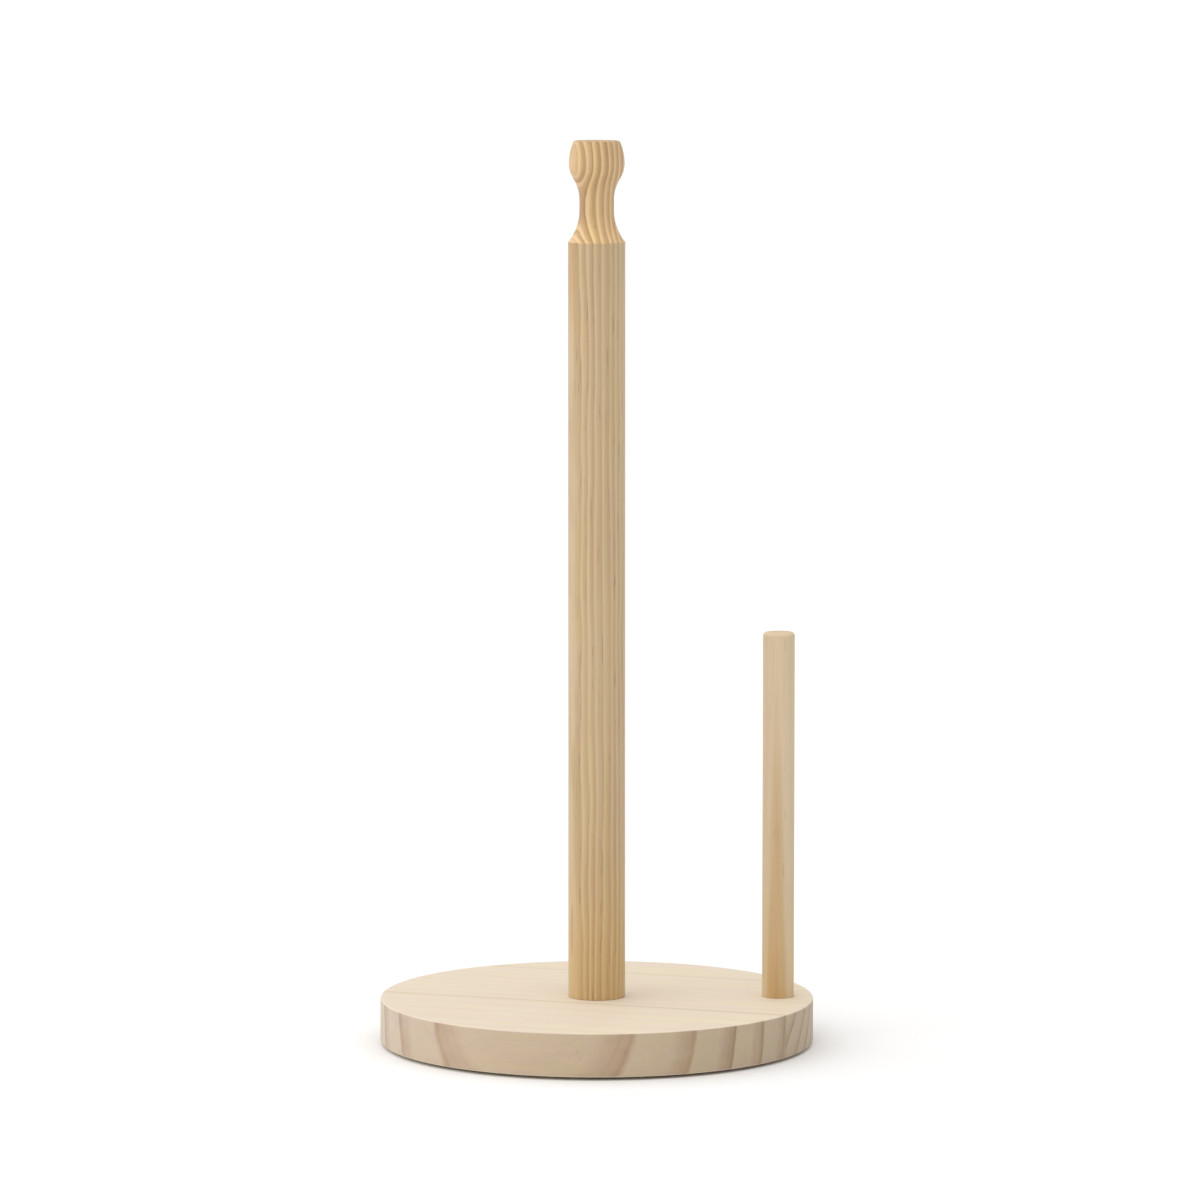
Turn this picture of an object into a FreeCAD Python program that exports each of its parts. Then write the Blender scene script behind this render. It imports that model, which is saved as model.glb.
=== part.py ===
import FreeCAD, Part
import math
import os

from dataclasses import dataclass
from FreeCAD import Vector

os.makedirs("parts", exist_ok=True)

# An upright paper towel holder: a round base glued up from pine staves, a turned centre post with its
# finial in one piece, and a plain side peg. Millimetres, +Z up. The origin is at the centre of the
# base, on the surface that the holder stands on, and +X points from the post towards the peg.


@dataclass
class Screw:
    """The sizes of a countersunk wood screw. Lengths are from the head's face."""

    thread_diameter: float
    shank_diameter: float
    head_diameter: float
    length: float
    plain_length: float
    point_length: float


# Base: a disc cut from an edge-glued panel.
base_diameter = 160.0
base_thickness = 16.0
base_edge_chamfer = 0.6
grain_angle = -19.0  # degrees from +X to the way the staves run, seen from above
front_joint_offset = -16.3  # from the base's centre, across the staves
middle_stave_width = 67.8

# Four self-adhesive pads under the base.
pad_diameter = 12.0
pad_thickness = 1.2
pad_chamfer = 0.3
pad_rim_distance = 12.0  # from the base's rim to a pad's near edge

# Centre post. Its shaft stands on the base, with a round tenon in a blind mortise.
post_diameter = 21.0
shaft_length = 279.0  # from the base's top to the finial's shoulder
tenon_diameter = 15.0
tenon_length = 8.0

# Finial, turned on the end of the post. Heights are from the shoulder.
finial_height = 37.0
finial_edge_round = 1.2
cove_height = 11.7
neck_diameter = 12.7
neck_length = 3.5
bulb_diameter = 20.4
bulb_height = 28.7  # to the bulb's widest point
bulb_lower_radius = 10.4
bulb_crown_radius = 20.0

# Side peg, seated in a blind hole.
peg_diameter = 11.8
peg_height = 135.5  # above the base's top
peg_chamfer = 0.8
peg_rim_distance = 7.1  # from the base's rim to the peg's near side
peg_hole_depth = 10.0

# Countersunk wood screws, driven up through the base.
post_screw = Screw(
    thread_diameter=5.0,
    shank_diameter=3.6,
    head_diameter=9.6,
    length=45.0,
    plain_length=14.0,
    point_length=5.0,
)
peg_screw = Screw(
    thread_diameter=3.5,
    shank_diameter=2.6,
    head_diameter=6.8,
    length=30.0,
    plain_length=9.0,
    point_length=3.5,
)
head_sink = 0.6  # from the base's underside to a head's face
head_rim = 0.4  # a head's straight edge, before its cone
recess_slot_width = 1.0
recess_depth = 1.6
recess_span = 3.6

# Clearances, each on one side of the piece.
socket_clearance = 0.1  # tenon and peg in their holes, filled by glue
mortise_floor_gap = 0.4  # under the tenon, so that the shaft seats on the base
screw_clearance = 0.05

SAME_POINT = 1e-6
ORIGIN = Vector(0, 0, 0)
UP = Vector(0, 0, 1)
OUTWARD, UPWARD, INWARD = 0.0, 90.0, 180.0  # directions in an outline, in degrees
QUARTER_TURN, FULL_TURN = 90.0, 360.0

base_radius = base_diameter / 2
base_bottom = pad_thickness
base_top = base_bottom + base_thickness
post_radius = post_diameter / 2
tenon_radius = tenon_diameter / 2
tenon_bottom = base_top - tenon_length
shoulder = base_top + shaft_length
peg_radius = peg_diameter / 2
peg_bottom = base_top - peg_hole_depth
peg_place = Vector(base_radius - peg_rim_distance - peg_radius, 0, 0)
pad_radius = pad_diameter / 2
screw_face = base_bottom + head_sink


def at(radius, height):
    """A point of a turned outline."""
    return Vector(radius, 0, height)


def on_circle(centre, radius, angle):
    """The point at a radius from centre, in the plane of a turned outline, at an angle from outward."""
    turn = math.radians(angle)
    return centre + Vector(math.cos(turn), 0, math.sin(turn)) * radius


def arc(centre, radius, start, end):
    """An arc of a turned outline about centre, from one angle to another."""
    ends = (on_circle(centre, radius, angle) for angle in (start, (start + end) / 2, end))
    return Part.Arc(*ends).toShape()


def angle_of(centre, target):
    """The angle at which target lies from centre."""
    return math.degrees(math.atan2(target.z - centre.z, target.x - centre.x))


def turned(outline):
    """The solid that points and arcs make when they are joined by straight lines and turned about Z."""
    edges = []
    for item, following in zip(outline, outline[1:] + outline[:1]):
        start = item
        end = following
        if isinstance(item, Part.Shape):
            edges.append(item)
            start = item.Vertexes[-1].Point
        if isinstance(following, Part.Shape):
            end = following.Vertexes[0].Point
        if not start.isEqual(end, SAME_POINT):
            edges.append(Part.LineSegment(start, end).toShape())
    return Part.Face(Part.Wire(edges)).revolve(ORIGIN, UP, FULL_TURN)


def moved(shape, place):
    """A copy of a shape, shifted by place."""
    copy = shape.copy()
    copy.translate(place)
    return copy


def screw_solid(screw):
    """A screw standing on its head, with its thread as a plain cylinder of the thread's diameter."""
    head_radius = screw.head_diameter / 2
    shank_radius = screw.shank_diameter / 2
    thread_radius = screw.thread_diameter / 2
    cone_end = screw_face + head_rim + head_radius - shank_radius
    thread_start = screw_face + screw.plain_length
    tip = screw_face + screw.length
    solid = turned(
        [
            at(0, screw_face),
            at(head_radius, screw_face),
            at(head_radius, screw_face + head_rim),
            at(shank_radius, cone_end),
            at(shank_radius, thread_start),
            at(thread_radius, thread_start),
            at(thread_radius, tip - screw.point_length),
            at(0, tip),
        ]
    )
    corner = Vector(-recess_span / 2, -recess_slot_width / 2, screw_face)
    slot = Part.makeBox(recess_span, recess_slot_width, recess_depth, corner)
    cross_slot = slot.copy()
    cross_slot.rotate(ORIGIN, UP, QUARTER_TURN)
    return solid.cut(slot.fuse(cross_slot))


def screw_hole(screw):
    """The countersunk way that a screw takes, from below the base to the end of its point."""
    head_radius = screw.head_diameter / 2 + screw_clearance
    thread_radius = screw.thread_diameter / 2 + screw_clearance
    tip = screw_face + screw.length
    return turned(
        [
            at(0, 0),
            at(head_radius, 0),
            at(head_radius, screw_face + head_rim),
            at(thread_radius, screw_face + head_rim + head_radius - thread_radius),
            at(thread_radius, tip - screw.point_length),
            at(0, tip + screw_clearance),
        ]
    )


def socket(radius, floor):
    """A blind hole from above the base down to floor, for a tenon or a peg of this radius."""
    return Part.makeCylinder(radius + socket_clearance, base_top, Vector(0, 0, floor))


def base_disc():
    """The whole round base, with its edges eased and its holes made, before it is parted into staves."""
    face_radius = base_radius - base_edge_chamfer
    disc = turned(
        [
            at(0, base_bottom),
            at(face_radius, base_bottom),
            at(base_radius, base_bottom + base_edge_chamfer),
            at(base_radius, base_top - base_edge_chamfer),
            at(face_radius, base_top),
            at(0, base_top),
        ]
    )
    holes = [
        socket(tenon_radius, tenon_bottom - mortise_floor_gap),
        screw_hole(post_screw),
        moved(socket(peg_radius, peg_bottom), peg_place),
        moved(screw_hole(peg_screw), peg_place),
    ]
    for hole in holes:
        disc = disc.cut(hole)
    return disc


def stave(disc, low, high):
    """The strip of the base between two glue lines, given by their offsets across the staves."""
    strip = Part.makeBox(2 * base_diameter, high - low, base_top, Vector(-base_diameter, low, base_bottom))
    strip.rotate(ORIGIN, UP, grain_angle)
    return disc.common(strip)


def centre_post():
    """The tenon, the shaft and, above its shoulder, a cove, a neck and a bulb with a flattened crown."""
    neck_radius = neck_diameter / 2
    bulb_radius = bulb_diameter / 2
    neck_bottom = shoulder + cove_height
    neck_top = neck_bottom + neck_length
    bulb_middle = shoulder + bulb_height
    top = shoulder + finial_height

    # The cove starts at the shaft's full width and runs smoothly into the neck.
    cove_depth = post_radius - neck_radius
    cove_radius = (cove_depth**2 + cove_height**2) / (2 * cove_depth)
    cove = at(neck_radius + cove_radius, neck_bottom)
    cove_start = FULL_TURN + angle_of(cove, at(post_radius, shoulder))

    # The flare runs smoothly from the neck into the bulb's underside.
    bulb = at(bulb_radius - bulb_lower_radius, bulb_middle)
    reach = neck_radius - bulb.x
    rise = bulb_middle - neck_top
    flare_radius = (reach**2 + rise**2 - bulb_lower_radius**2) / (2 * (bulb_radius - neck_radius))
    flare = at(neck_radius + flare_radius, neck_top)
    underside_start = angle_of(bulb, flare)

    # The crown runs smoothly from the bulb's widest point into the rounding of the flat top.
    crown = at(bulb_radius - bulb_crown_radius, bulb_middle)
    edge_height = top - finial_edge_round
    edge_reach = math.sqrt((bulb_crown_radius - finial_edge_round) ** 2 - (edge_height - bulb_middle) ** 2)
    edge = at(crown.x + edge_reach, edge_height)
    crown_end = angle_of(crown, edge)

    post = turned(
        [
            at(0, tenon_bottom),
            at(tenon_radius, tenon_bottom),
            at(tenon_radius, base_top),
            at(post_radius, base_top),
            arc(cove, cove_radius, cove_start, INWARD),
            arc(flare, flare_radius, INWARD, INWARD + underside_start),
            arc(bulb, bulb_lower_radius, underside_start, OUTWARD),
            arc(crown, bulb_crown_radius, OUTWARD, crown_end),
            arc(edge, finial_edge_round, crown_end, UPWARD),
            at(0, top),
        ]
    )
    return post.cut(screw_hole(post_screw))


def side_peg():
    """A dowel with both of its ends chamfered."""
    end_radius = peg_radius - peg_chamfer
    top = base_top + peg_height
    dowel = turned(
        [
            at(0, peg_bottom),
            at(end_radius, peg_bottom),
            at(peg_radius, peg_bottom + peg_chamfer),
            at(peg_radius, top - peg_chamfer),
            at(end_radius, top),
            at(0, top),
        ]
    )
    return moved(dowel.cut(screw_hole(peg_screw)), peg_place)


def foot_pad(side, depth):
    """A round pad with its lower edge eased, towards one corner of the base."""
    pad = turned(
        [
            at(0, 0),
            at(pad_radius - pad_chamfer, 0),
            at(pad_radius, pad_chamfer),
            at(pad_radius, pad_thickness),
            at(0, pad_thickness),
        ]
    )
    corner = Vector(side, depth, 0).normalize()
    return moved(pad, corner * (base_radius - pad_rim_distance - pad_radius))


disc = base_disc()
rear_joint_offset = front_joint_offset + middle_stave_width
pieces = {
    "base_stave_front": stave(disc, -base_radius, front_joint_offset),
    "base_stave_middle": stave(disc, front_joint_offset, rear_joint_offset),
    "base_stave_rear": stave(disc, rear_joint_offset, base_radius),
    "centre_post": centre_post(),
    "side_peg": side_peg(),
    "post_screw": screw_solid(post_screw),
    "peg_screw": moved(screw_solid(peg_screw), peg_place),
}
for row, depth in (("front", -1), ("rear", 1)):
    for side_name, side in (("left", -1), ("right", 1)):
        pieces[f"foot_pad_{row}_{side_name}"] = foot_pad(side, depth)

for name, shape in pieces.items():
    shape.exportStep(f"parts/{name}.step")
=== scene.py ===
import math
from dataclasses import dataclass

import bmesh
import bpy
from mathutils import Matrix, Vector


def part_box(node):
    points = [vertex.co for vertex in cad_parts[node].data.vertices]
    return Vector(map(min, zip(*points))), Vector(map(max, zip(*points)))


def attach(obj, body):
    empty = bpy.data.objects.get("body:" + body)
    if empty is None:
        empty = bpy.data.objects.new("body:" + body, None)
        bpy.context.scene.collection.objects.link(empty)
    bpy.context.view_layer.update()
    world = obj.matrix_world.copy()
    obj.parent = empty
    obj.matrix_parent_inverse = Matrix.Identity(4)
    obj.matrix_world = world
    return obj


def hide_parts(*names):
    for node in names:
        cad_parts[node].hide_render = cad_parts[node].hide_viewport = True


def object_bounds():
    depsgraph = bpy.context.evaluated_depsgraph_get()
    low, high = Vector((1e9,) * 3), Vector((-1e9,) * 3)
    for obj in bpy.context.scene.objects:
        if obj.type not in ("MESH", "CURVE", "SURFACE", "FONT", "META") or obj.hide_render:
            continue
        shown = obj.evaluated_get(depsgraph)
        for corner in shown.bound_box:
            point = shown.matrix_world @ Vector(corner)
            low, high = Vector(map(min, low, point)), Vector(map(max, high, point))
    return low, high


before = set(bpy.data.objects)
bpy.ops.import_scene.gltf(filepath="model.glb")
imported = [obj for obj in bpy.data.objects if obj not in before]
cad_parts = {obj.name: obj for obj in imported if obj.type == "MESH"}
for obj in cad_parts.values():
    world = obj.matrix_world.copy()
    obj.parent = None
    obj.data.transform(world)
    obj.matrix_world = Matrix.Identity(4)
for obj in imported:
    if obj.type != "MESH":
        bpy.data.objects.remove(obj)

cad_low, cad_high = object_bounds()

# An upright paper towel holder in pine: a base glued up from three staves, a turned post with its
# finial, a side peg, the two screws that hold them and four foot pads. Lengths are in metres.

MM = 0.001
UP = Vector((0, 0, 1))
ORIGIN = Vector((0, 0, 0))


# ---------------------------------------------------------------------------------------------
# Places and sizes. Places come from the frame, and sizes that no box shows are as in the CAD model.
# ---------------------------------------------------------------------------------------------


@dataclass
class Screw:
    """The sizes of a countersunk wood screw. It stands on its head."""

    name: str
    place: Vector  # the middle of the head's face
    thread: float  # radii of the thread, the shank and the head
    shank: float
    head: float
    length: float
    plain: float  # from the head's face to where the thread starts
    point: float  # the length of the pointed end
    pitch: float

    @property
    def face(self):
        """The height of the head's face."""
        return self.place.z

    @property
    def tip(self):
        """The height of the point."""
        return self.place.z + self.length

    @property
    def core(self):
        """The radius between the ridges of the thread."""
        return CORE_SHARE * self.thread

    @property
    def axis(self):
        """The place on the floor under the screw."""
        return Vector((self.place.x, self.place.y, 0))


def middle_of(node):
    """The place on the floor under the middle of a CAD node's box."""
    low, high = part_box(node)
    return Vector(((low.x + high.x) / 2, (low.y + high.y) / 2, 0))


def screw_in(node, name, thread, shank, plain, point, pitch):
    """The screw that fills a CAD node's box."""
    low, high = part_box(node)
    place = middle_of(node) + UP * low.z
    head = (high.x - low.x) / 2
    return Screw(name, place, thread, shank, head, high.z - low.z, plain, point, pitch)


post_low, post_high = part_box("centre_post")
peg_low, peg_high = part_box("side_peg")
stave_low, stave_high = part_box("base_stave_middle")
base_bottom = stave_low.z
base_top = stave_high.z
base_radius = (cad_high.x - cad_low.x) / 2
post_radius = (post_high.x - post_low.x) / 2
peg_radius = (peg_high.x - peg_low.x) / 2
peg_place = Vector(((peg_low.x + peg_high.x) / 2, 0, 0))
pad_nodes = [f"foot_pad_{row}_{side}" for row in ("front", "rear") for side in ("left", "right")]
pad_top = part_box(pad_nodes[0])[1].z

FINIAL_HEIGHT = 37 * MM
TENON_RADIUS = 7.5 * MM
MORTISE_GAP = 0.4 * MM  # under the tenon
SOCKET_GAP = 0.1 * MM  # around the tenon and the peg
SCREW_GAP = 0.05 * MM
HEAD_RIM = 0.4 * MM  # a screw head's straight edge, before its cone
CORE_SHARE = 0.68  # a screw's core, as a share of its thread's radius
shoulder = post_high.z - FINIAL_HEIGHT
post_screw = screw_in("post_screw", "screw_post", 2.5 * MM, 1.8 * MM, 14 * MM, 5 * MM, 2.2 * MM)
peg_screw = screw_in("peg_screw", "screw_peg", 1.75 * MM, 1.3 * MM, 9 * MM, 3.5 * MM, 1.6 * MM)

# How the panel was glued up. The staves run along "grain", and "across" points to the rear.
GRAIN_ANGLE = math.radians(-19)
grain = Vector((math.cos(GRAIN_ANGLE), math.sin(GRAIN_ANGLE), 0))
across = Vector((-grain.y, grain.x, 0))
FRONT_JOINT = -16.3 * MM
REAR_JOINT = 51.5 * MM


# ---------------------------------------------------------------------------------------------
# Meshes
# ---------------------------------------------------------------------------------------------

OFF_GRID = 0.37  # turns the facets of pieces that meet in a boolean, so that no corner falls on an edge
SHARP_ANGLE = math.radians(32)
SUPPORT = 0.25 * MM  # from a rounding to the ring that keeps the face beside it flat


def finish_mesh(piece):
    """Outward normals, smooth shading, and sharp edges where two faces meet at an angle."""
    shape = bmesh.new()
    shape.from_mesh(piece.data)
    bmesh.ops.recalc_face_normals(shape, faces=shape.faces)
    for face in shape.faces:
        face.smooth = True
    for edge in shape.edges:
        edge.smooth = edge.calc_face_angle(math.pi) < SHARP_ANGLE
    shape.to_mesh(piece.data)
    shape.free()
    return piece


def new_piece(name, points, faces):
    """A piece from its points and its faces, each a list of places in the list of points."""
    mesh = bpy.data.meshes.new(name)
    mesh.from_pydata([tuple(point) for point in points], [], [tuple(face) for face in faces])
    mesh.validate()
    piece = bpy.data.objects.new(name, mesh)
    bpy.context.scene.collection.objects.link(piece)
    return finish_mesh(piece)


def new_block(name, bottom, top):
    """A six-sided piece from the four corners of its bottom and of its top, in the same order."""
    sides = [(k, 4 + k, 4 + (k + 1) % 4, (k + 1) % 4) for k in range(4)]
    return new_piece(name, [*bottom, *top], [(0, 1, 2, 3), (7, 6, 5, 4), *sides])


def turned(name, outline, segments, place=ORIGIN, relief=None, start=0.0):
    """A closed solid turned about the Z axis through place, from an outline of (radius, height)
    that starts and ends on the axis. relief(angle, radius, height) is added to every radius, and
    start turns the facets, by that share of one of them."""
    angles = [2 * math.pi * (k + start) / segments for k in range(segments)]
    rings = outline[1:-1]
    points = []
    for radius, height in rings:
        for angle in angles:
            reach = radius + (relief(angle, radius, height) if relief else 0)
            points.append(Vector((reach * math.cos(angle), reach * math.sin(angle), height)) + place)
    faces = []
    for ring in range(len(rings) - 1):
        here = ring * segments
        there = here + segments
        for k in range(segments):
            after = (k + 1) % segments
            faces.append((here + k, here + after, there + after, there + k))

    # A flat end is one face, and a pointed end is a fan.
    first_rim = list(range(segments - 1, -1, -1))
    last_rim = list(range(len(points) - segments, len(points)))
    for rim, end, ring in ((first_rim, outline[0], rings[0]), (last_rim, outline[-1], rings[-1])):
        if end[1] == ring[1]:
            faces.append(rim)
            continue
        points.append(Vector((0, 0, end[1])) + place)
        faces += [(rim[k - 1], rim[k], len(points) - 1) for k in range(segments)]
    return new_piece(name, points, faces)


def arc(centre, radius, start, end, steps):
    """Points (radius, height) along an arc, its angles in degrees from the outward direction."""
    angles = [math.radians(start + (end - start) * k / steps) for k in range(steps + 1)]
    return [(centre[0] + radius * math.cos(a), centre[1] + radius * math.sin(a)) for a in angles]


def spaced(outline, step):
    """The outline with its long straight stretches divided into steps."""
    points = [outline[0]]
    for (r0, z0), (r1, z1) in zip(outline, outline[1:]):
        parts = max(1, round(math.hypot(r1 - r0, z1 - z0) / step))
        for k in range(1, parts + 1):
            points.append((r0 + (r1 - r0) * k / parts, z0 + (z1 - z0) * k / parts))
    return points


def combined(piece, operation, tool):
    """The piece after a boolean with tool, which is used up."""
    modifier = piece.modifiers.new("cut", "BOOLEAN")
    modifier.operation = operation
    modifier.solver = "EXACT"
    modifier.object = tool
    bpy.context.view_layer.update()
    evaluated = piece.evaluated_get(bpy.context.evaluated_depsgraph_get())
    mesh = bpy.data.meshes.new_from_object(evaluated)
    piece.modifiers.clear()
    piece.data = mesh
    bpy.data.objects.remove(tool)
    return piece


def copied(piece, name):
    """A second piece with a mesh of its own."""
    twin = piece.copy()
    twin.data = piece.data.copy()
    twin.name = name
    bpy.context.scene.collection.objects.link(twin)
    return twin


# ---------------------------------------------------------------------------------------------
# Base: three staves cut from one turned disc
# ---------------------------------------------------------------------------------------------

EDGE_ROUND = 0.6 * MM
CLEAR = 0.6 * MM  # how far a cutter reaches past the base's faces
DISC_SEGMENTS = 360
SOCKET_SEGMENTS = 128
HOLE_SEGMENTS = 96
# How the mouth of a screw hole is eased, as (wider than the countersink, above the base's underside).
MOUTH = ((0.3 * MM, -0.01 * MM), (0.1 * MM, 0.08 * MM), (0, 0.3 * MM))


def rounded_edge(radius, height, size, start, end):
    """An edge of a disc rounded to size, with a support ring on each side that keeps its faces flat.
    The angles run from -90 to 0 at the lower edge, and from 0 to 90 at the upper one."""
    is_lower = start < 0
    centre = (radius - size, height + size * (1 if is_lower else -1))
    points = arc(centre, size, start, end, 6)
    if is_lower:
        return [(points[0][0] - SUPPORT, points[0][1]), *points, (radius, points[-1][1] + SUPPORT)]
    return [(radius, points[0][1] - SUPPORT), *points, (points[-1][0] - SUPPORT, points[-1][1])]


def screw_way(screw):
    """A cutter for the countersunk hole that a screw takes through the base, its mouth eased."""
    rim = screw.face + HEAD_RIM
    head = screw.head + SCREW_GAP
    hole = screw.thread + SCREW_GAP
    outline = [(0, base_bottom - CLEAR), (head + MOUTH[0][0], base_bottom - CLEAR)]
    outline += [(head + wider, base_bottom + above) for wider, above in MOUTH]
    outline += [(head, rim), (hole, rim + head - hole)]
    outline += [(hole, base_top + CLEAR), (0, base_top + CLEAR)]
    return turned("screw_way", outline, HOLE_SEGMENTS, screw.axis, start=OFF_GRID)


def socket(radius, floor, place):
    """A cutter for a blind hole from the base's top down to floor."""
    roof = base_top + CLEAR
    outline = [(0, floor), (radius, floor), (radius, roof), (0, roof)]
    return turned("socket", outline, SOCKET_SEGMENTS, place, start=OFF_GRID)


def base_disc():
    """The whole round base with its holes, before it is parted into staves."""
    outline = [(0, base_bottom)]
    outline += rounded_edge(base_radius, base_bottom, EDGE_ROUND, -90, 0)
    outline += rounded_edge(base_radius, base_top, EDGE_ROUND, 0, 90)
    outline += [(0, base_top)]
    disc = turned("base_disc", outline, DISC_SEGMENTS)
    cutters = (
        socket(TENON_RADIUS + SOCKET_GAP, post_low.z - MORTISE_GAP, ORIGIN),
        socket(peg_radius + SOCKET_GAP, peg_low.z, peg_place),
        screw_way(post_screw),
        screw_way(peg_screw),
    )
    for cutter in cutters:
        disc = combined(disc, "DIFFERENCE", cutter)
    return disc


def strip(near, far):
    """A block that holds everything between two offsets across the staves."""
    reach = 2 * base_radius
    corners = [(-reach, near), (reach, near), (reach, far), (-reach, far)]
    bottom = [grain * u + across * v - UP * base_top for u, v in corners]
    top = [grain * u + across * v + UP * 2 * base_top for u, v in corners]
    return new_block("strip", bottom, top)


def make_base():
    """The three staves, from the front to the rear."""
    disc = base_disc()
    reach = 2 * base_radius
    cuts = {
        "base_front": (-reach, FRONT_JOINT),
        "base_middle": (FRONT_JOINT, REAR_JOINT),
        "base_rear": (REAR_JOINT, reach),
    }
    staves = [combined(copied(disc, name), "INTERSECT", strip(*sides)) for name, sides in cuts.items()]
    bpy.data.objects.remove(disc)
    return [finish_mesh(stave) for stave in staves]


# ---------------------------------------------------------------------------------------------
# Post with its finial, and peg
# ---------------------------------------------------------------------------------------------

# The finial, as in the CAD model. Heights are from the shoulder.
NECK_RADIUS = 6.35 * MM
COVE_HEIGHT = 11.7 * MM
NECK_LENGTH = 3.5 * MM
BULB_RADIUS = 10.2 * MM
BULB_HEIGHT = 28.7 * MM
BULB_LOWER_RADIUS = 10.4 * MM
BULB_CROWN_RADIUS = 20 * MM
FINIAL_EDGE_ROUND = 1.2 * MM
POST_FOOT_ROUND = 0.25 * MM
PEG_CHAMFER = 0.8 * MM
PEG_SOFTENING = 0.15 * MM  # of the chamfer's edges
POST_SEGMENTS, POST_STEP = 160, 0.9 * MM  # facets around, and the longest step along the outline
PEG_SEGMENTS, PEG_STEP = 112, 1.2 * MM
LATHE_WAVE = 0.012 * MM
LATHE_DEEPEST = 1.6  # the most that the waves below add up to, so that nothing leaves the CAD box


def angle_of(centre, target):
    """The angle in degrees at which target lies from centre, both (radius, height)."""
    return math.degrees(math.atan2(target[1] - centre[1], target[0] - centre[0]))


def screw_bore(screw, bottom):
    """The start of an outline whose piece has a screw driven up into it through its bottom."""
    hole = screw.thread + SCREW_GAP
    return [(0, screw.tip + SCREW_GAP), (hole, screw.tip - screw.point), (hole, bottom)]


def finial_outline():
    """Five arcs that run smoothly into each other, from the shoulder to the flat top."""
    neck_bottom = shoulder + COVE_HEIGHT
    neck_top = neck_bottom + NECK_LENGTH
    bulb_middle = shoulder + BULB_HEIGHT

    cove_depth = post_radius - NECK_RADIUS
    cove_radius = (cove_depth**2 + COVE_HEIGHT**2) / (2 * cove_depth)
    cove = (NECK_RADIUS + cove_radius, neck_bottom)
    cove_start = 360 + angle_of(cove, (post_radius, shoulder))

    bulb = (BULB_RADIUS - BULB_LOWER_RADIUS, bulb_middle)
    reach = NECK_RADIUS - bulb[0]
    rise = bulb_middle - neck_top
    flare_radius = (reach**2 + rise**2 - BULB_LOWER_RADIUS**2) / (2 * (BULB_RADIUS - NECK_RADIUS))
    flare = (NECK_RADIUS + flare_radius, neck_top)
    flare_turn = angle_of(bulb, flare)

    crown = (BULB_RADIUS - BULB_CROWN_RADIUS, bulb_middle)
    edge_height = post_high.z - FINIAL_EDGE_ROUND
    crown_reach = BULB_CROWN_RADIUS - FINIAL_EDGE_ROUND
    edge = (crown[0] + math.sqrt(crown_reach**2 - (edge_height - bulb_middle) ** 2), edge_height)
    crown_end = angle_of(crown, edge)

    outline = arc(cove, cove_radius, cove_start, 180, 26)
    outline += arc(flare, flare_radius, 180, 180 + flare_turn, 20)
    outline += arc(bulb, BULB_LOWER_RADIUS, flare_turn, 0, 22)[1:]
    outline += arc(crown, BULB_CROWN_RADIUS, 0, crown_end, 14)[1:]
    outline += arc(edge, FINIAL_EDGE_ROUND, crown_end, 90, 8)[1:]
    return outline + [(edge[0] - SUPPORT, post_high.z), (0, post_high.z)]


def lathe_relief(angle, radius, height):
    """Tiny departures from round left by turning and sanding, above the base and off the axis."""
    if height < base_top + 1 * MM or radius < 3 * MM:
        return 0
    wave = math.sin(2 * angle + 40 * height) + 0.6 * math.sin(3 * angle - 55 * height + 1.3)
    return LATHE_WAVE * (wave - LATHE_DEEPEST)


def make_post():
    """The tenon, the shaft standing on the base, and the finial."""
    foot = POST_FOOT_ROUND
    outline = screw_bore(post_screw, post_low.z)
    outline += [(TENON_RADIUS - foot, post_low.z), (TENON_RADIUS, post_low.z + foot)]
    outline += [(TENON_RADIUS, base_top), (post_radius - foot - SUPPORT, base_top)]
    outline += arc((post_radius - foot, base_top + foot), foot, -90, 0, 3)
    outline += [(post_radius, shoulder - SUPPORT)]
    outline += finial_outline()
    return turned("post", spaced(outline, POST_STEP), POST_SEGMENTS, relief=lathe_relief)


def make_peg():
    """A dowel with chamfered ends, the edges of the upper chamfer sanded soft."""
    inner = peg_radius - PEG_CHAMFER
    top = peg_high.z
    outline = screw_bore(peg_screw, peg_low.z)
    outline += [
        (inner, peg_low.z),
        (peg_radius, peg_low.z + PEG_CHAMFER),
        (peg_radius, top - PEG_CHAMFER - PEG_SOFTENING),
        (peg_radius - 0.04 * MM, top - PEG_CHAMFER + 0.02 * MM),
        (inner + 0.06 * MM, top - 0.1 * MM),
        (inner - PEG_SOFTENING, top),
        (0, top),
    ]
    return turned("peg", spaced(outline, PEG_STEP), PEG_SEGMENTS, peg_place, lathe_relief)


# ---------------------------------------------------------------------------------------------
# Screws and foot pads
# ---------------------------------------------------------------------------------------------

RIDGE_WIDTH = 0.26  # half of the thread's ridge, as a share of its pitch
RIDGE_FLANK = 0.8  # below 1 the ridge's flanks bulge
RINGS_PER_PITCH = 14
SCREW_SEGMENTS = 64
HEAD_EASE = 0.12 * MM
SHANK_END = 0.4 * MM  # from the shank's end to where the thread starts
TIP_RADIUS = 0.02 * MM
TIP_SHARE = 0.97  # how much of the point is a cone, before the very tip
CROSS_REACH = 1.8 * MM  # half the cross recess's span
CROSS_HALF_WIDTH = 0.5 * MM
CROSS_DEPTH = 1.6 * MM
CROSS_CLEAR = 0.1 * MM  # how far its cutter stands out of the head
CROSS_TAPER = 0.62  # its floor, as a share of its mouth
CORNERS = ((-1, -1), (1, -1), (1, 1), (-1, 1))
PAD_SEGMENTS = 96
PAD_ROUND = 0.45 * MM
PAD_RING = 2.3 * MM  # the width of the ring that touches the floor, with its slope
PAD_SLOPE = 0.3 * MM
PAD_DISH = 0.06 * MM  # how far a pad's middle stands back from the floor
PAD_FILM = 0.18 * MM  # the thickness of the adhesive disc on a pad
PAD_FILM_INSET = 0.12 * MM
PAD_FILM_EASE = 0.03 * MM


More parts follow.
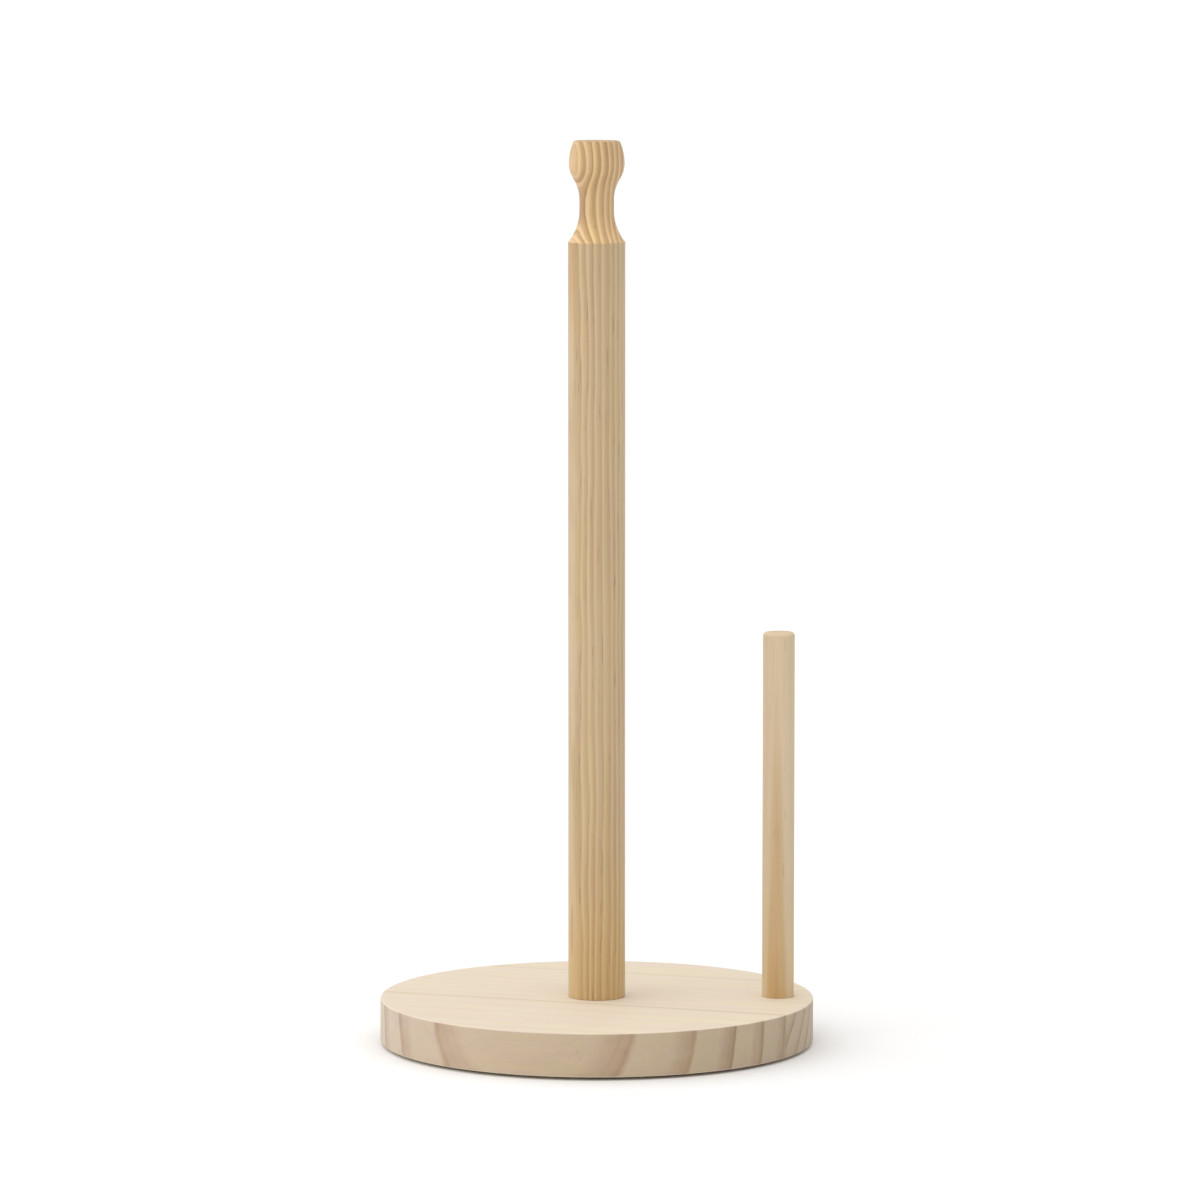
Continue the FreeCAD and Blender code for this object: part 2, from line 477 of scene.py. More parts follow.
def thread_relief(screw):
    """A single-start wood thread: a thin ridge that winds up the core and dies away at both ends."""
    start = screw.face + screw.plain

    def relief(angle, radius, height):
        if height <= start:
            return 0
        turn = ((height - start) / screw.pitch - angle / (2 * math.pi)) % 1
        ridge = max(0.0, 1 - abs(turn - 0.5) / RIDGE_WIDTH) ** RIDGE_FLANK
        run_in = min(1.0, (height - start) / screw.pitch)
        run_out = min(1.0, max(0.0, screw.tip - height) / screw.point)
        return (screw.thread - screw.core) * ridge * run_in * run_out

    return relief


def cross_slot(screw, turn):
    """A cutter for one of the two tapered slots of the cross in a screw's head."""
    spin = Matrix.Rotation(turn, 3, "Z")

    def ring(share, level):
        reach, width = CROSS_REACH * share, CROSS_HALF_WIDTH * share
        return [spin @ Vector((x * reach, y * width, level)) + screw.place for x, y in CORNERS]

    return new_block("slot", ring(1.0, -CROSS_CLEAR), ring(CROSS_TAPER, CROSS_DEPTH))


def screw_outline(screw):
    """The head, the shank and the core, with rings close enough to carry the thread."""
    face, head = screw.face, screw.head
    outline = [
        (0, face),
        (head - 3 * HEAD_EASE, face),
        (head - HEAD_EASE, face + 0.3 * HEAD_EASE),
        (head, face + HEAD_EASE),
        (head, face + HEAD_RIM),
        (screw.shank, face + HEAD_RIM + head - screw.shank),
        (screw.shank, face + screw.plain - SHANK_END),
    ]
    bottom = face + screw.plain
    top = screw.tip - screw.point
    ring_step = screw.pitch / RINGS_PER_PITCH
    rings = round((screw.length - screw.point - screw.plain) / ring_step)
    outline += [(screw.core, bottom + (top - bottom) * k / rings) for k in range(rings + 1)]
    point_rings = round(screw.point / ring_step)
    for k in range(1, point_rings + 1):
        radius = screw.core * (1 - k / point_rings) + TIP_RADIUS
        outline.append((radius, top + screw.point * TIP_SHARE * k / point_rings))
    return outline + [(0, screw.tip)]


def make_screw(screw):
    """A countersunk wood screw standing on its head, with a plain shank and a real thread."""
    relief = thread_relief(screw)
    body = turned(screw.name, screw_outline(screw), SCREW_SEGMENTS, screw.axis, relief, OFF_GRID)
    cross = combined(cross_slot(screw, 0), "UNION", cross_slot(screw, math.pi / 2))
    return finish_mesh(combined(body, "DIFFERENCE", cross))


def make_pad(node):
    """A moulded stick-on pad: a dished face, a rounded lower edge, and its adhesive disc above."""
    low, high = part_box(node)
    radius = (high.x - low.x) / 2
    film = high.z - PAD_FILM
    film_radius = radius - PAD_FILM_INSET
    outline = [
        (0, low.z + PAD_DISH),
        (radius - PAD_RING, low.z + PAD_DISH),
        (radius - PAD_RING + PAD_SLOPE, low.z),
        (radius - PAD_ROUND - SUPPORT, low.z),
        *arc((radius - PAD_ROUND, low.z + PAD_ROUND), PAD_ROUND, -90, 0, 8),
        (radius, film),
        (film_radius, film + PAD_FILM_EASE),
        (film_radius, high.z),
        (0, high.z),
    ]
    return turned(node.replace("foot_pad", "pad"), outline, PAD_SEGMENTS, middle_of(node))


# ---------------------------------------------------------------------------------------------
# Material nodes
# ---------------------------------------------------------------------------------------------


class Shader:
    """Short calls for building one material's node tree."""

    def __init__(self, name):
        self.material = bpy.data.materials.new(name)
        self.material.use_nodes = True
        self.tree = self.material.node_tree
        self.surface = self.tree.nodes["Principled BSDF"]
        coordinates = self.tree.nodes.new("ShaderNodeTexCoord")
        self.place = coordinates.outputs["Object"]
        self.normal = coordinates.outputs["Normal"]

    def fill(self, socket, value):
        """Link a socket to a node's output, or give it a fixed value."""
        if isinstance(value, bpy.types.NodeSocket):
            self.tree.links.new(value, socket)
        else:
            socket.default_value = value

    def node(self, kind, values, **settings):
        """A new node, with its settings and the values of its sockets by name or by number."""
        made = self.tree.nodes.new("ShaderNode" + kind)
        for name, value in settings.items():
            setattr(made, name, value)
        for key, value in values.items():
            self.fill(made.inputs[key], value)
        return made

    def math(self, operation, a, b=0.0):
        return self.node("Math", {0: a, 1: b}, operation=operation).outputs[0]

    def add(self, a, b):
        return self.math("ADD", a, b)

    def times(self, a, b):
        return self.math("MULTIPLY", a, b)

    def less(self, value):
        """One less the value."""
        return self.add(1.0, self.times(value, -1.0))

    def dot(self, vector, direction):
        values = {0: vector, 1: tuple(direction)}
        return self.node("VectorMath", values, operation="DOT_PRODUCT").outputs["Value"]

    def steepness(self, direction):
        """How squarely the surface faces along a direction, either way: 0 to 1."""
        return self.math("ABSOLUTE", self.dot(self.normal, direction))

    def vector(self, x, y, z):
        return self.node("CombineXYZ", {0: x, 1: y, 2: z}).outputs[0]

    def grey(self, level):
        return self.vector(level, level, level)

    def noise(self, vector, scale, detail=2.0, roughness=0.5):
        values = {"Vector": vector, "Scale": scale, "Detail": detail, "Roughness": roughness}
        return self.node("TexNoise", values).outputs["Fac"]

    def range(self, value, low, high, out_low=0.0, out_high=1.0, smooth=True):
        values = {"Value": value, "From Min": low, "From Max": high, "To Min": out_low, "To Max": out_high}
        kind = "SMOOTHSTEP" if smooth else "LINEAR"
        return self.node("MapRange", values, interpolation_type=kind).outputs[0]

    def curve(self, value, stops):
        """A smooth grey curve through (place, level) stops."""
        made = self.node("ValToRGB", {"Fac": value})
        made.color_ramp.interpolation = "EASE"
        points = made.color_ramp.elements
        while len(points) < len(stops):
            points.new(1.0)
        for point, (position, level) in zip(points, stops):
            point.position = position
            point.color = (level, level, level, 1)
        return made.outputs["Color"]

    def mix(self, factor, a, b, blend="MIX"):
        """A colour between a and b, each of them a socket or an (r, g, b)."""
        made = self.node("Mix", {0: factor}, data_type="RGBA", blend_type=blend)
        for key, colour in ((6, a), (7, b)):
            self.fill(made.inputs[key], (*colour, 1) if isinstance(colour, tuple) else colour)
        return made.outputs[2]

    def bump(self, height, distance, strength):
        values = {"Height": height, "Distance": distance, "Strength": strength}
        return self.node("Bump", values).outputs[0]

    def finish(self, **values):
        """The material, with the principled shader's sockets filled by name."""
        for name, value in values.items():
            self.fill(self.surface.inputs[name.replace("_", " ")], value)
        return self.material


# ---------------------------------------------------------------------------------------------
# Pine
# ---------------------------------------------------------------------------------------------

# How latewood builds up across one ring, as (share of the ring, strength).
NARROW_RINGS = ((0.0, 0.5), (0.05, 0.0), (0.2, 0.05), (0.48, 0.62), (0.75, 0.9), (0.94, 1.0), (1.0, 0.5))
WIDE_RINGS = ((0.0, 0.5), (0.03, 0.0), (0.5, 0.03), (0.78, 0.6), (0.96, 1.0), (1.0, 0.5))
FLAME = ((0.0, 0.3), (0.1, 0.0), (0.82, 0.0), (0.92, 0.8), (1.0, 1.0))
# The thin dark line that closes a ring.
RING_LINE = ((0.0, 0.6), (0.015, 0.0), (0.90, 0.0), (0.96, 0.9), (0.985, 1.0), (1.0, 0.6))

# Noises drawn out along the grain: the scale across it and along it, per metre, detail, roughness.
SLOW_DRIFT = (70.0, 12.0, 1.0, 0.5)
QUICK_DRIFT = (170.0, 34.0, 1.5, 0.5)
RING_NOISE = (90.0, 11.0, 1.0, 0.5)
LINE_NOISE = (60.0, 14.0, 1.0, 0.5)
FIBRES = (2600.0, 38.0, 3.0, 0.6)
BANDS = (420.0, 6.0, 2.0, 0.55)
HUE = (300.0, 12.0, 1.0, 0.5)
CANALS = (1900.0, 80.0, 1.0, 0.5)
CLOUD_SCALE = 22.0
FALSE_RING_SCALE = 3.0  # along the grain

# Spans: a value from the first to the second number becomes one from the third to the fourth.
RING_STRENGTH = (0.3, 0.7, 0.6, 1.15)
LINE_STRENGTH = (0.35, 0.6, 0.35, 1.0)
FALSE_RING_EDGE = (0.5, 0.68, 0.0, 1.0)
FALSE_RING_PLACES = (0.3, 0.85, 0.1, 1.0)  # the share of the ring, to how strong they are there
PLANED = (0.1, 0.85, 1.0, 0.0)  # how upright a board's normal is, to how sawn its face is
FIBRE_TONE = (0.25, 0.75, 0.94, 1.045)
BAND_TONE = (0.25, 0.75, -0.035, 0.03)
BAND_DEPTH = (0.0, 1.0, 0.45, 1.0)  # weaker on a board's planed faces
CLOUD_TONE = (0.3, 0.7, 0.98, 1.015)
GREEN_HUE = (0.32, 0.5, 1.0, 0.0)
PINK_HUE = (0.5, 0.68, 0.0, 1.0)
CANAL_PLACES = (0.3, 0.8, 0.15, 1.0)  # the share of the ring, to how many canals are there
GLUE_BLOTCHES = (0.3, 0.7, 0.7, 1.2)
FIBRE_ROUGHNESS = (0.2, 0.8, 0.52, 0.66)

QUICK_DRIFT_SHARE = 0.45
DRIFT_REACH = 3 * MM  # of a wobble of 1
END_GRAIN_POWER = 1.4
FINIAL_BLEND = 0.4 * MM  # on each side of the shoulder
HEART_BLEND = 0.5  # on each side of the ring that bounds it, in millimetres
CANAL_EDGE = 0.08
CANAL_STRENGTH = 0.4
CANAL_SHADE = 0.45  # of the late colour
KNOT_STRENGTH = 0.5
KNOT_CORE = 0.2  # the share of a knot that is evenly dark
KNOT_SHADE = 0.7
GREENER = (1.0, 1.0, 0.94)
PINKER = (1.0, 0.965, 1.0)
GLUE_STAIN = (0.40, 0.27, 0.16)
GLUE_REACH = 3.0 * MM
GLUE_LINE = 0.35 * MM
# Painted light and shade on a sawn rim: paler and cooler where x is low, on the side the key light comes
# from, and browner towards the peg, away from it.
RIM_FROM, RIM_TO = -75 * MM, 65 * MM
RIM_PAINTED_LIGHT = (1.07, 1.08, 1.14)
RIM_PAINTED_SHADE = (0.87, 0.84, 0.79)
# How far each of these stands up in the bump. A canal is a dent.
FIBRE_RELIEF, RING_RELIEF, CANAL_RELIEF = 0.45, 0.35, -0.5
GRAIN_DEPTH, GRAIN_BUMP = 0.09 * MM, 0.5
LATEWOOD_POLISH = -0.08  # added to the roughness


@dataclass
class Wood:
    """The grain and the colours of one board. Colours are linear, and rings are in millimetres."""

    name: str
    along: Vector  # the way of the grain
    pith: Vector  # a point of the line that the rings are curved about
    out: Vector  # from that line towards the piece
    rings: tuple  # distances of the ring borders from the line
    early: tuple  # the colour in which a ring begins
    late: tuple  # and the one in which it ends
    dark: tuple = (0.3, 0.2, 0.1)  # of the line that closes a ring
    stops: tuple = NARROW_RINGS
    wobble: float = 0.4  # how far the rings drift
    face_contrast: float = 1.0  # of the rings on faces along the grain
    sawn_contrast: float = 1.0  # and on sawn edges and ends
    sawn_tint: tuple = (0.9, 0.86, 0.82)
    end_tint: tuple = (1.0, 1.0, 1.0)
    is_board: bool = False  # its top and underside are planed, and its rim is sawn
    lines_from: tuple = (0, 1)  # the radii over which the closing lines come in, in millimetres
    line_strength: float = 0.0
    false_rings: tuple = (900.0, 0.0)  # faint lines within the rings: scale and strength
    canal_share: float = 0.34
    sheen: float = 0.0
    foot: tuple = ()  # (low, high, tint): a tint that fades out upward
    joints: tuple = ()  # (offset across the staves, strength of the stain) of each glue line
    knots: tuple = ()  # (place, size) of each pin knot
    seed: float = 0.0


@dataclass
class Finial:
    """How the turned end of a piece differs from its shaft."""

    start: float  # height
    early: tuple
    contrast: float
    faint_contrast: float  # of the innermost rings
    faint_rings: tuple  # the radii over which they gain contrast, in millimetres
    cove_height: float
    # painted highlight on the cove, a brightening where it faces up to the light
    cove_painted_light: tuple


@dataclass
class Heart:
    """Honey-coloured wood inside a ring, high on the shaft."""

    radius: float  # in millimetres
    low: float  # heights between which it comes in
    high: float
    tint: tuple


class Pine(Shader):
    """Pine as a solid texture. Its growth rings are curved about a pith line, and each ring is pale
    where it begins and darkens outward to a crisp edge."""

    def __init__(self, wood, finial=None, heart=None):
        super().__init__(wood.name)
        self.wood = wood
        self.set_axes()
        self.set_rings()
        self.set_faces()
        if finial:
            self.set_turned_part(finial)
        self.fibres = self.stretched(*FIBRES)
        self.bands = self.stretched(*BANDS)
        self.paint_grain()
        self.tint_faces()
        if finial:
            self.paint_cove_light(finial)
        if heart:
            self.tint_heart(heart)
        self.add_canals()
        self.add_glue_lines()
        self.add_knots()

    def stretched(self, across_scale, along_scale, detail, roughness):
        """Noise that is drawn out along the grain."""
        place = self.vector(
            self.times(self.outward, across_scale),
            self.times(self.sideways, across_scale),
            self.times(self.length, along_scale),
        )
        return self.noise(place, 1.0, detail, roughness)

    def tint(self, factor, tint):
        """Multiply the colour by tint where factor is 1."""
        self.colour = self.mix(factor, self.colour, self.mix(1.0, self.colour, tint, "MULTIPLY"))

    def set_axes(self):
        """Distances along the grain, out from the pith line and beside it."""
        wood = self.wood
        self.along = wood.along.normalized()
        out = (wood.out - wood.out.dot(self.along) * self.along).normalized()
        side = self.along.cross(out)
        self.length = self.add(self.dot(self.place, self.along), wood.seed - wood.pith.dot(self.along))
        self.outward = self.add(self.dot(self.place, out), -wood.pith.dot(out))
        self.sideways = self.add(self.dot(self.place, side), -wood.pith.dot(side))
        self.height = self.dot(self.place, UP)

    def ring_count(self):
        """How many ring borders lie inside the radius. The fraction is the way to the next one."""
        total = None
        for near, far in zip(self.wood.rings, self.wood.rings[1:]):
            part = self.range(self.radius, near * MM, far * MM, smooth=False)
            total = part if total is None else self.add(total, part)
        return total

    def set_rings(self):
        """The latewood and the closing lines of rings that drift slowly along the grain."""
        wood = self.wood
        drift = self.add(self.stretched(*SLOW_DRIFT), -0.5)
        quick = self.add(self.stretched(*QUICK_DRIFT), -0.5)
        drift = self.add(drift, self.times(quick, QUICK_DRIFT_SHARE))
        squares = (self.times(self.outward, self.outward), self.times(self.sideways, self.sideways))
        self.radius = self.math("SQRT", self.add(*squares))
        self.radius = self.add(self.radius, self.times(drift, DRIFT_REACH * wood.wobble))
        count = self.ring_count()
        self.position = self.math("FRACT", count)

        strength = self.range(self.stretched(*RING_NOISE), *RING_STRENGTH, smooth=False)
        self.latewood = self.times(self.curve(self.position, wood.stops), strength)
        scale, amount = wood.false_rings
        ring = self.math("FLOOR", count)
        fine = self.vector(self.times(self.radius, scale), self.times(self.length, FALSE_RING_SCALE), ring)
        fine = self.range(self.noise(fine, 1.0, 1.0), *FALSE_RING_EDGE)
        first, last, weak, full = FALSE_RING_PLACES
        depth = self.range(self.position, first, last, weak * amount, full * amount)
        self.latewood = self.add(self.latewood, self.times(fine, depth))

        strength = self.range(self.stretched(*LINE_NOISE), *LINE_STRENGTH)
        lines = self.times(self.curve(self.position, RING_LINE), strength)
        first, full = wood.lines_from
        coming_in = self.range(self.radius, first * MM, full * MM, 0.0, wood.line_strength)
        self.lines = self.times(lines, coming_in)

    def set_faces(self):
        """Sawn edges and ends show the rings more strongly than planed faces do."""
        wood = self.wood
        self.early = wood.early
        self.end_grain = self.math("POWER", self.steepness(self.along), END_GRAIN_POWER)
        self.sawn = self.range(self.steepness(UP), *PLANED) if wood.is_board else self.end_grain
        contrasts = (wood.face_contrast, wood.sawn_contrast)
        self.contrast = self.range(self.sawn, 0.0, 1.0, *contrasts, smooth=False)

    def set_turned_part(self, finial):
        """A turned end shows its rings more clearly, all but the innermost, and is warmer."""
        start = finial.start
        self.turned_part = self.range(self.height, start - FINIAL_BLEND, start + FINIAL_BLEND)
        first, full = finial.faint_rings
        contrasts = (finial.faint_contrast, finial.contrast)
        turned_contrast = self.range(self.radius, first * MM, full * MM, *contrasts)
        shaft_contrast = self.times(self.contrast, self.less(self.turned_part))
        self.contrast = self.add(shaft_contrast, self.times(self.turned_part, turned_contrast))
        self.early = self.mix(self.turned_part, self.early, finial.early)

    def paint_grain(self):
        """Rings, then fibres with broader pale and dark bands among them, and drifts of hue."""
        wood = self.wood
        self.colour = self.mix(self.times(self.latewood, self.contrast), self.early, wood.late)
        self.colour = self.mix(self.times(self.lines, self.contrast), self.colour, wood.dark)
        tone = self.range(self.fibres, *FIBRE_TONE, smooth=False)
        band_depth = self.range(self.sawn, *BAND_DEPTH) if wood.is_board else 1.0
        streaks = self.range(self.bands, *BAND_TONE, smooth=False)
        tone = self.times(tone, self.add(1.0, self.times(streaks, band_depth)))
        cloud = self.noise(self.place, CLOUD_SCALE)
        tone = self.times(tone, self.range(cloud, *CLOUD_TONE, smooth=False))
        self.colour = self.mix(1.0, self.colour, self.grey(tone), "MULTIPLY")
        hue = self.stretched(*HUE)
        self.tint(self.range(hue, *GREEN_HUE), GREENER)
        self.tint(self.range(hue, *PINK_HUE), PINKER)

    def tint_faces(self):
        """Tints of a board's rim, with painted light on its left and painted shade towards the peg, of sawn
        faces, of end grain and of the piece's foot.
        """
        wood = self.wood
        if wood.is_board:
            # Painted light and shade: the rim is paler towards low x and browner towards the peg.
            rim_shade_share = self.range(self.dot(self.place, (1, 0, 0)), RIM_FROM, RIM_TO, smooth=False)
            self.tint(self.sawn, self.mix(rim_shade_share, RIM_PAINTED_LIGHT, RIM_PAINTED_SHADE))
        self.tint(self.sawn, wood.sawn_tint)
        # On the base, the end-grain tint is a painted reflection.
        self.tint(self.end_grain, wood.end_tint)
        if wood.foot:
            low, high, tint = wood.foot
            self.tint(self.range(self.height, low, high, 1.0, 0.0), tint)

    def paint_cove_light(self, finial):
        """A painted highlight on the cove, which faces up to the light: strongest at the shoulder, and gone
        at the top of the cove.
        """
        cove_top = finial.start + finial.cove_height
        cove = self.range(self.height, finial.start, cove_top, 1.0, 0.0)
        self.tint(self.times(self.turned_part, cove), finial.cove_painted_light)

    def tint_heart(self, heart):
        """The heart ends where the turned part starts."""
        near, far = heart.radius - HEART_BLEND, heart.radius + HEART_BLEND
        inside = self.range(self.radius, near * MM, far * MM, 1.0, 0.0)
        inside = self.times(inside, self.less(self.turned_part))
        self.tint(self.times(inside, self.range(self.height, heart.low, heart.high)), heart.tint)

    def add_canals(self):
        """Resin canals: thin brown dashes, most of them in the latewood."""
        threshold = 1 - self.wood.canal_share
        canals = self.range(self.stretched(*CANALS), threshold, threshold + CANAL_EDGE)
        self.canals = self.times(canals, self.range(self.position, *CANAL_PLACES))
        self.mark(self.times(self.canals, CANAL_STRENGTH), self.shaded(CANAL_SHADE))

    def add_glue_lines(self):
        """A thin dark line where staves meet, and a blotchy stain beside it."""
        for offset, strength in self.wood.joints:
            gap = self.math("ABSOLUTE", self.add(self.dot(self.place, across), -offset))
            stain = self.range(gap, 0.0, GLUE_REACH, strength, 0.0)
            stain = self.times(stain, self.range(self.bands, *GLUE_BLOTCHES))
            line = self.range(gap, 0.0, GLUE_LINE, 2 * strength, 0.0)
            self.mark(self.add(stain, line), GLUE_STAIN)

    def add_knots(self):
        for spot, size in self.wood.knots:
            values = {0: self.place, 1: tuple(spot)}
            gap = self.node("VectorMath", values, operation="DISTANCE").outputs["Value"]
            self.mark(self.range(gap, KNOT_CORE * size, size, KNOT_STRENGTH, 0.0), self.shaded(KNOT_SHADE))

    def mark(self, factor, colour):
        """Paint colour over the wood where factor is 1."""
        self.colour = self.mix(factor, self.colour, colour)

    def shaded(self, share):
        """The late colour, darkened."""
        return tuple(share * part for part in self.wood.late)

    def made(self):
        """The finished material: sanded and unvarnished, with the fibres and rings just felt."""
        roughness = self.range(self.fibres, *FIBRE_ROUGHNESS, smooth=False)
        relief = self.add(self.times(self.fibres, FIBRE_RELIEF), self.times(self.latewood, RING_RELIEF))
        relief = self.add(relief, self.times(self.canals, CANAL_RELIEF))
        return self.finish(
            Base_Color=self.colour,
            Roughness=self.add(roughness, self.times(self.latewood, LATEWOOD_POLISH)),
            Specular_IOR_Level=0.4,
            Sheen_Weight=self.wood.sheen,
            Sheen_Roughness=0.45,
            Normal=self.bump(relief, GRAIN_DEPTH, GRAIN_BUMP),
        )


# ---------------------------------------------------------------------------------------------
# The wood of each piece
# ---------------------------------------------------------------------------------------------

BASE_COLOURS = dict(early=(0.775, 0.66, 0.51), late=(0.58, 0.425, 0.30), dark=(0.36, 0.27, 0.165))
BASE_LOOK = dict(
    along=grain, stops=WIDE_RINGS, is_board=True, face_contrast=0.1, sawn_contrast=0.85,
    # end_tint whitens and cools the base's end grain at the rim's two ends: a painted reflection of the
    # pale surroundings.
    end_tint=(1.03, 1.07, 1.14), canal_share=0.27, sheen=0.12, **BASE_COLOURS,
)
DARKER_STAVE = dict(line_strength=0.85, false_rings=(1100.0, 0.35), sawn_tint=(0.70, 0.645, 0.57))
FRONT_STAIN = (FRONT_JOINT, 0.2)
REAR_STAIN = (REAR_JOINT, 0.1)
POST_RING_ANGLE = math.radians(27)  # from +X, the way that the post's rings widen
PEG_PITH = Vector((10.6 * MM, 69 * MM, 0))  # from the peg's middle
# Pin knots on the front rim: x, the depth below the base's top and the size, in millimetres.
PIN_KNOTS = ((-6.9, 6.7, 0.9), (-6.1, 9.3, 0.7))


def stave_pith(offset, height):
    """A point of a stave's pith line, by its offset across the staves and height above their middle."""
    return across * offset + UP * ((base_bottom + base_top) / 2 + height)


def on_front_rim(x, depth):
    """The point of the base's front rim at x and a depth below the top."""
    return Vector((x, -math.sqrt(base_radius**2 - x**2), base_top - depth))


def stave_woods():
    """The wood of the front, the middle and the rear stave."""
    knots = [(on_front_rim(x * MM, depth * MM), size * MM) for x, depth, size in PIN_KNOTS]
    front = Wood(
        "pine_front", pith=stave_pith(-150 * MM, 14 * MM), out=across,
        rings=(54.5, 67.4, 80.3, 94.5, 107.9, 120.9, 133.9), lines_from=(86, 100), line_strength=0.7,
        false_rings=(1100.0, 0.22), sawn_tint=(0.715, 0.66, 0.585), joints=(FRONT_STAIN,), knots=knots,
        **BASE_LOOK,
    )
    middle = Wood(
        "pine_middle", pith=stave_pith(-75 * MM, 49 * MM), out=across - UP * 0.6,
        rings=(63.0, 71.2, 79.4, 87.8, 95.9, 103.8, 112.2, 119.7, 127.5, 134.8, 142.0),
        joints=(FRONT_STAIN, REAR_STAIN), seed=0.31, **DARKER_STAVE, **BASE_LOOK,
    )
    rear = Wood(
        "pine_rear", pith=stave_pith(150 * MM, -30 * MM), out=-across,
        rings=(60.0, 66.5, 72.0, 78.3, 83.6, 90.0, 96.1, 103.0),
        joints=(REAR_STAIN,), seed=0.72, **DARKER_STAVE, **BASE_LOOK,
    )
    return [Pine(wood).made() for wood in (front, middle, rear)]


def post_wood():
    """Narrow rings that show on the front as lines running through the shaft and the finial."""
    ring_out = Vector((math.cos(POST_RING_ANGLE), math.sin(POST_RING_ANGLE), 0))
    wood = Wood(
        "pine_post", along=UP, pith=-ring_out * 80 * MM, out=ring_out,
        rings=(66.0, 69.2, 70.9, 72.6, 74.7, 77.6, 80.8, 83.1, 85.3, 87.6, 89.8, 92.0),
        early=(0.60, 0.455, 0.277), late=(0.40, 0.245, 0.10), dark=(0.29, 0.18, 0.075), wobble=0.9,
        face_contrast=0.56, sawn_contrast=0.9, line_strength=0.35, false_rings=(2300.0, 0.3),
        canal_share=0.37, foot=(base_top, base_top + 75 * MM, (1.045, 0.975, 0.80)), sheen=0.2,
    )
    # The cove's brightening is a painted highlight.
    finial = Finial(
        start=shoulder, early=(0.735, 0.507, 0.272), contrast=0.8, faint_contrast=0.3,
        faint_rings=(70.4, 72.4), cove_height=12 * MM, cove_painted_light=(1.23, 1.24, 1.23),
    )
    heart = Heart(radius=70.3, low=shoulder - 48 * MM, high=shoulder - 6 * MM, tint=(0.95, 0.85, 0.70))
    return Pine(wood, finial, heart).made()


def peg_wood():
    """The grain leans a little, so that one ring runs out of the peg's front as a tall flame."""
    wood = Wood(
        "pine_peg", along=Vector((0.0, -0.0125, 1)), pith=peg_place + UP * base_top + PEG_PITH,
        out=Vector((-0.152, -0.988, 0)), rings=(50.0, 66.2, 75.85, 80.0), early=(0.635, 0.50, 0.333),
        late=(0.49, 0.315, 0.12), stops=FLAME, wobble=0.12, sawn_contrast=0.7, sawn_tint=(1.06, 1.05, 1.04),
        canal_share=0.30, sheen=0.1, foot=(base_top, base_top + 60 * MM, (1.0, 0.97, 0.88)),
    )
    return Pine(wood).made()


# ---------------------------------------------------------------------------------------------
# Steel and rubber
# ---------------------------------------------------------------------------------------------

ZINC_YELLOW = (0.66, 0.62, 0.52)
ZINC_BLUE = (0.56, 0.59, 0.62)
ZINC_SPOT = (0.36, 0.34, 0.30)
RECESS_PAINTED_SHADE = (0.10, 0.09, 0.08)
ZINC_RINGS, ZINC_CAST, ZINC_SPOTS = 9000.0, 500.0, 2600.0  # noise scales, per metre
RUBBER_DARK = (0.036, 0.036, 0.038)
RUBBER_PALE = (0.062, 0.061, 0.060)
DUST = (0.17, 0.155, 0.13)
ADHESIVE = (0.42, 0.38, 0.28)
STIPPLE, PATCHES = 5200.0, 420.0


def zinc_steel(screw):
    """Bright zinc plating: a faint yellow and blue cast, fine rings, and painted shade in the cross recess.
    """
    s = Shader(screw.name.replace("screw", "zinc"))
    around = s.node("VectorMath", {0: s.place, 1: tuple(screw.axis)}, operation="SUBTRACT").outputs[0]
    x, y, height = s.node("SeparateXYZ", {0: around}).outputs
    radius = s.math("SQRT", s.add(s.times(x, x), s.times(y, y)))
    ring_place = s.vector(s.times(radius, ZINC_RINGS), s.times(height, ZINC_RINGS), 0.0)
    rings = s.noise(ring_place, 1.0)
    cast = s.noise(s.place, ZINC_CAST)
    spots = s.noise(s.place, ZINC_SPOTS)
    colour = s.mix(s.range(cast, 0.35, 0.65), ZINC_YELLOW, ZINC_BLUE)
    colour = s.mix(s.range(spots, 0.62, 0.75, 0.0, 0.35), colour, ZINC_SPOT)
    # Painted shade in the cross recess: darker near the axis, below the head's face.
    in_head = s.range(height, screw.face + 0.35 * MM, screw.face + 1.4 * MM)
    near_axis = s.range(radius, 1.2 * MM, 2.1 * MM, 0.75, 0.0)
    colour = s.mix(s.times(in_head, near_axis), colour, RECESS_PAINTED_SHADE)
    roughness = s.add(s.range(rings, 0.3, 0.7, 0.26, 0.4), s.range(spots, 0.5, 0.75, 0.0, 0.15))
    bump = s.bump(rings, 0.02 * MM, 0.4)
    return s.finish(Base_Color=colour, Metallic=1.0, Roughness=roughness, Normal=bump)


def pad_rubber():
    """Dark grey moulded rubber with a fine stipple, dusty on its lower face, and a film of adhesive."""
    s = Shader("pad_rubber")
    stipple = s.noise(s.place, STIPPLE)
    patches = s.noise(s.place, PATCHES, 3.0)
    height = s.dot(s.place, UP)
    film = pad_top - PAD_FILM
    colour = s.mix(s.range(patches, 0.35, 0.65), RUBBER_DARK, RUBBER_PALE)
    dust = s.times(s.range(height, 0.0, 0.2 * MM, 0.5, 0.0), s.range(patches, 0.45, 0.7))
    colour = s.mix(dust, colour, DUST)
    colour = s.mix(s.range(height, film + 0.01 * MM, film + 0.04 * MM), colour, ADHESIVE)
    roughness = s.range(patches, 0.3, 0.7, 0.62, 0.8)
    bump = s.bump(stipple, 0.06 * MM, 0.6)
    return s.finish(Base_Color=colour, Roughness=roughness, Specular_IOR_Level=0.4, Normal=bump)


# ---------------------------------------------------------------------------------------------
# Studio: pale floor, soft light, and a long lens
# ---------------------------------------------------------------------------------------------

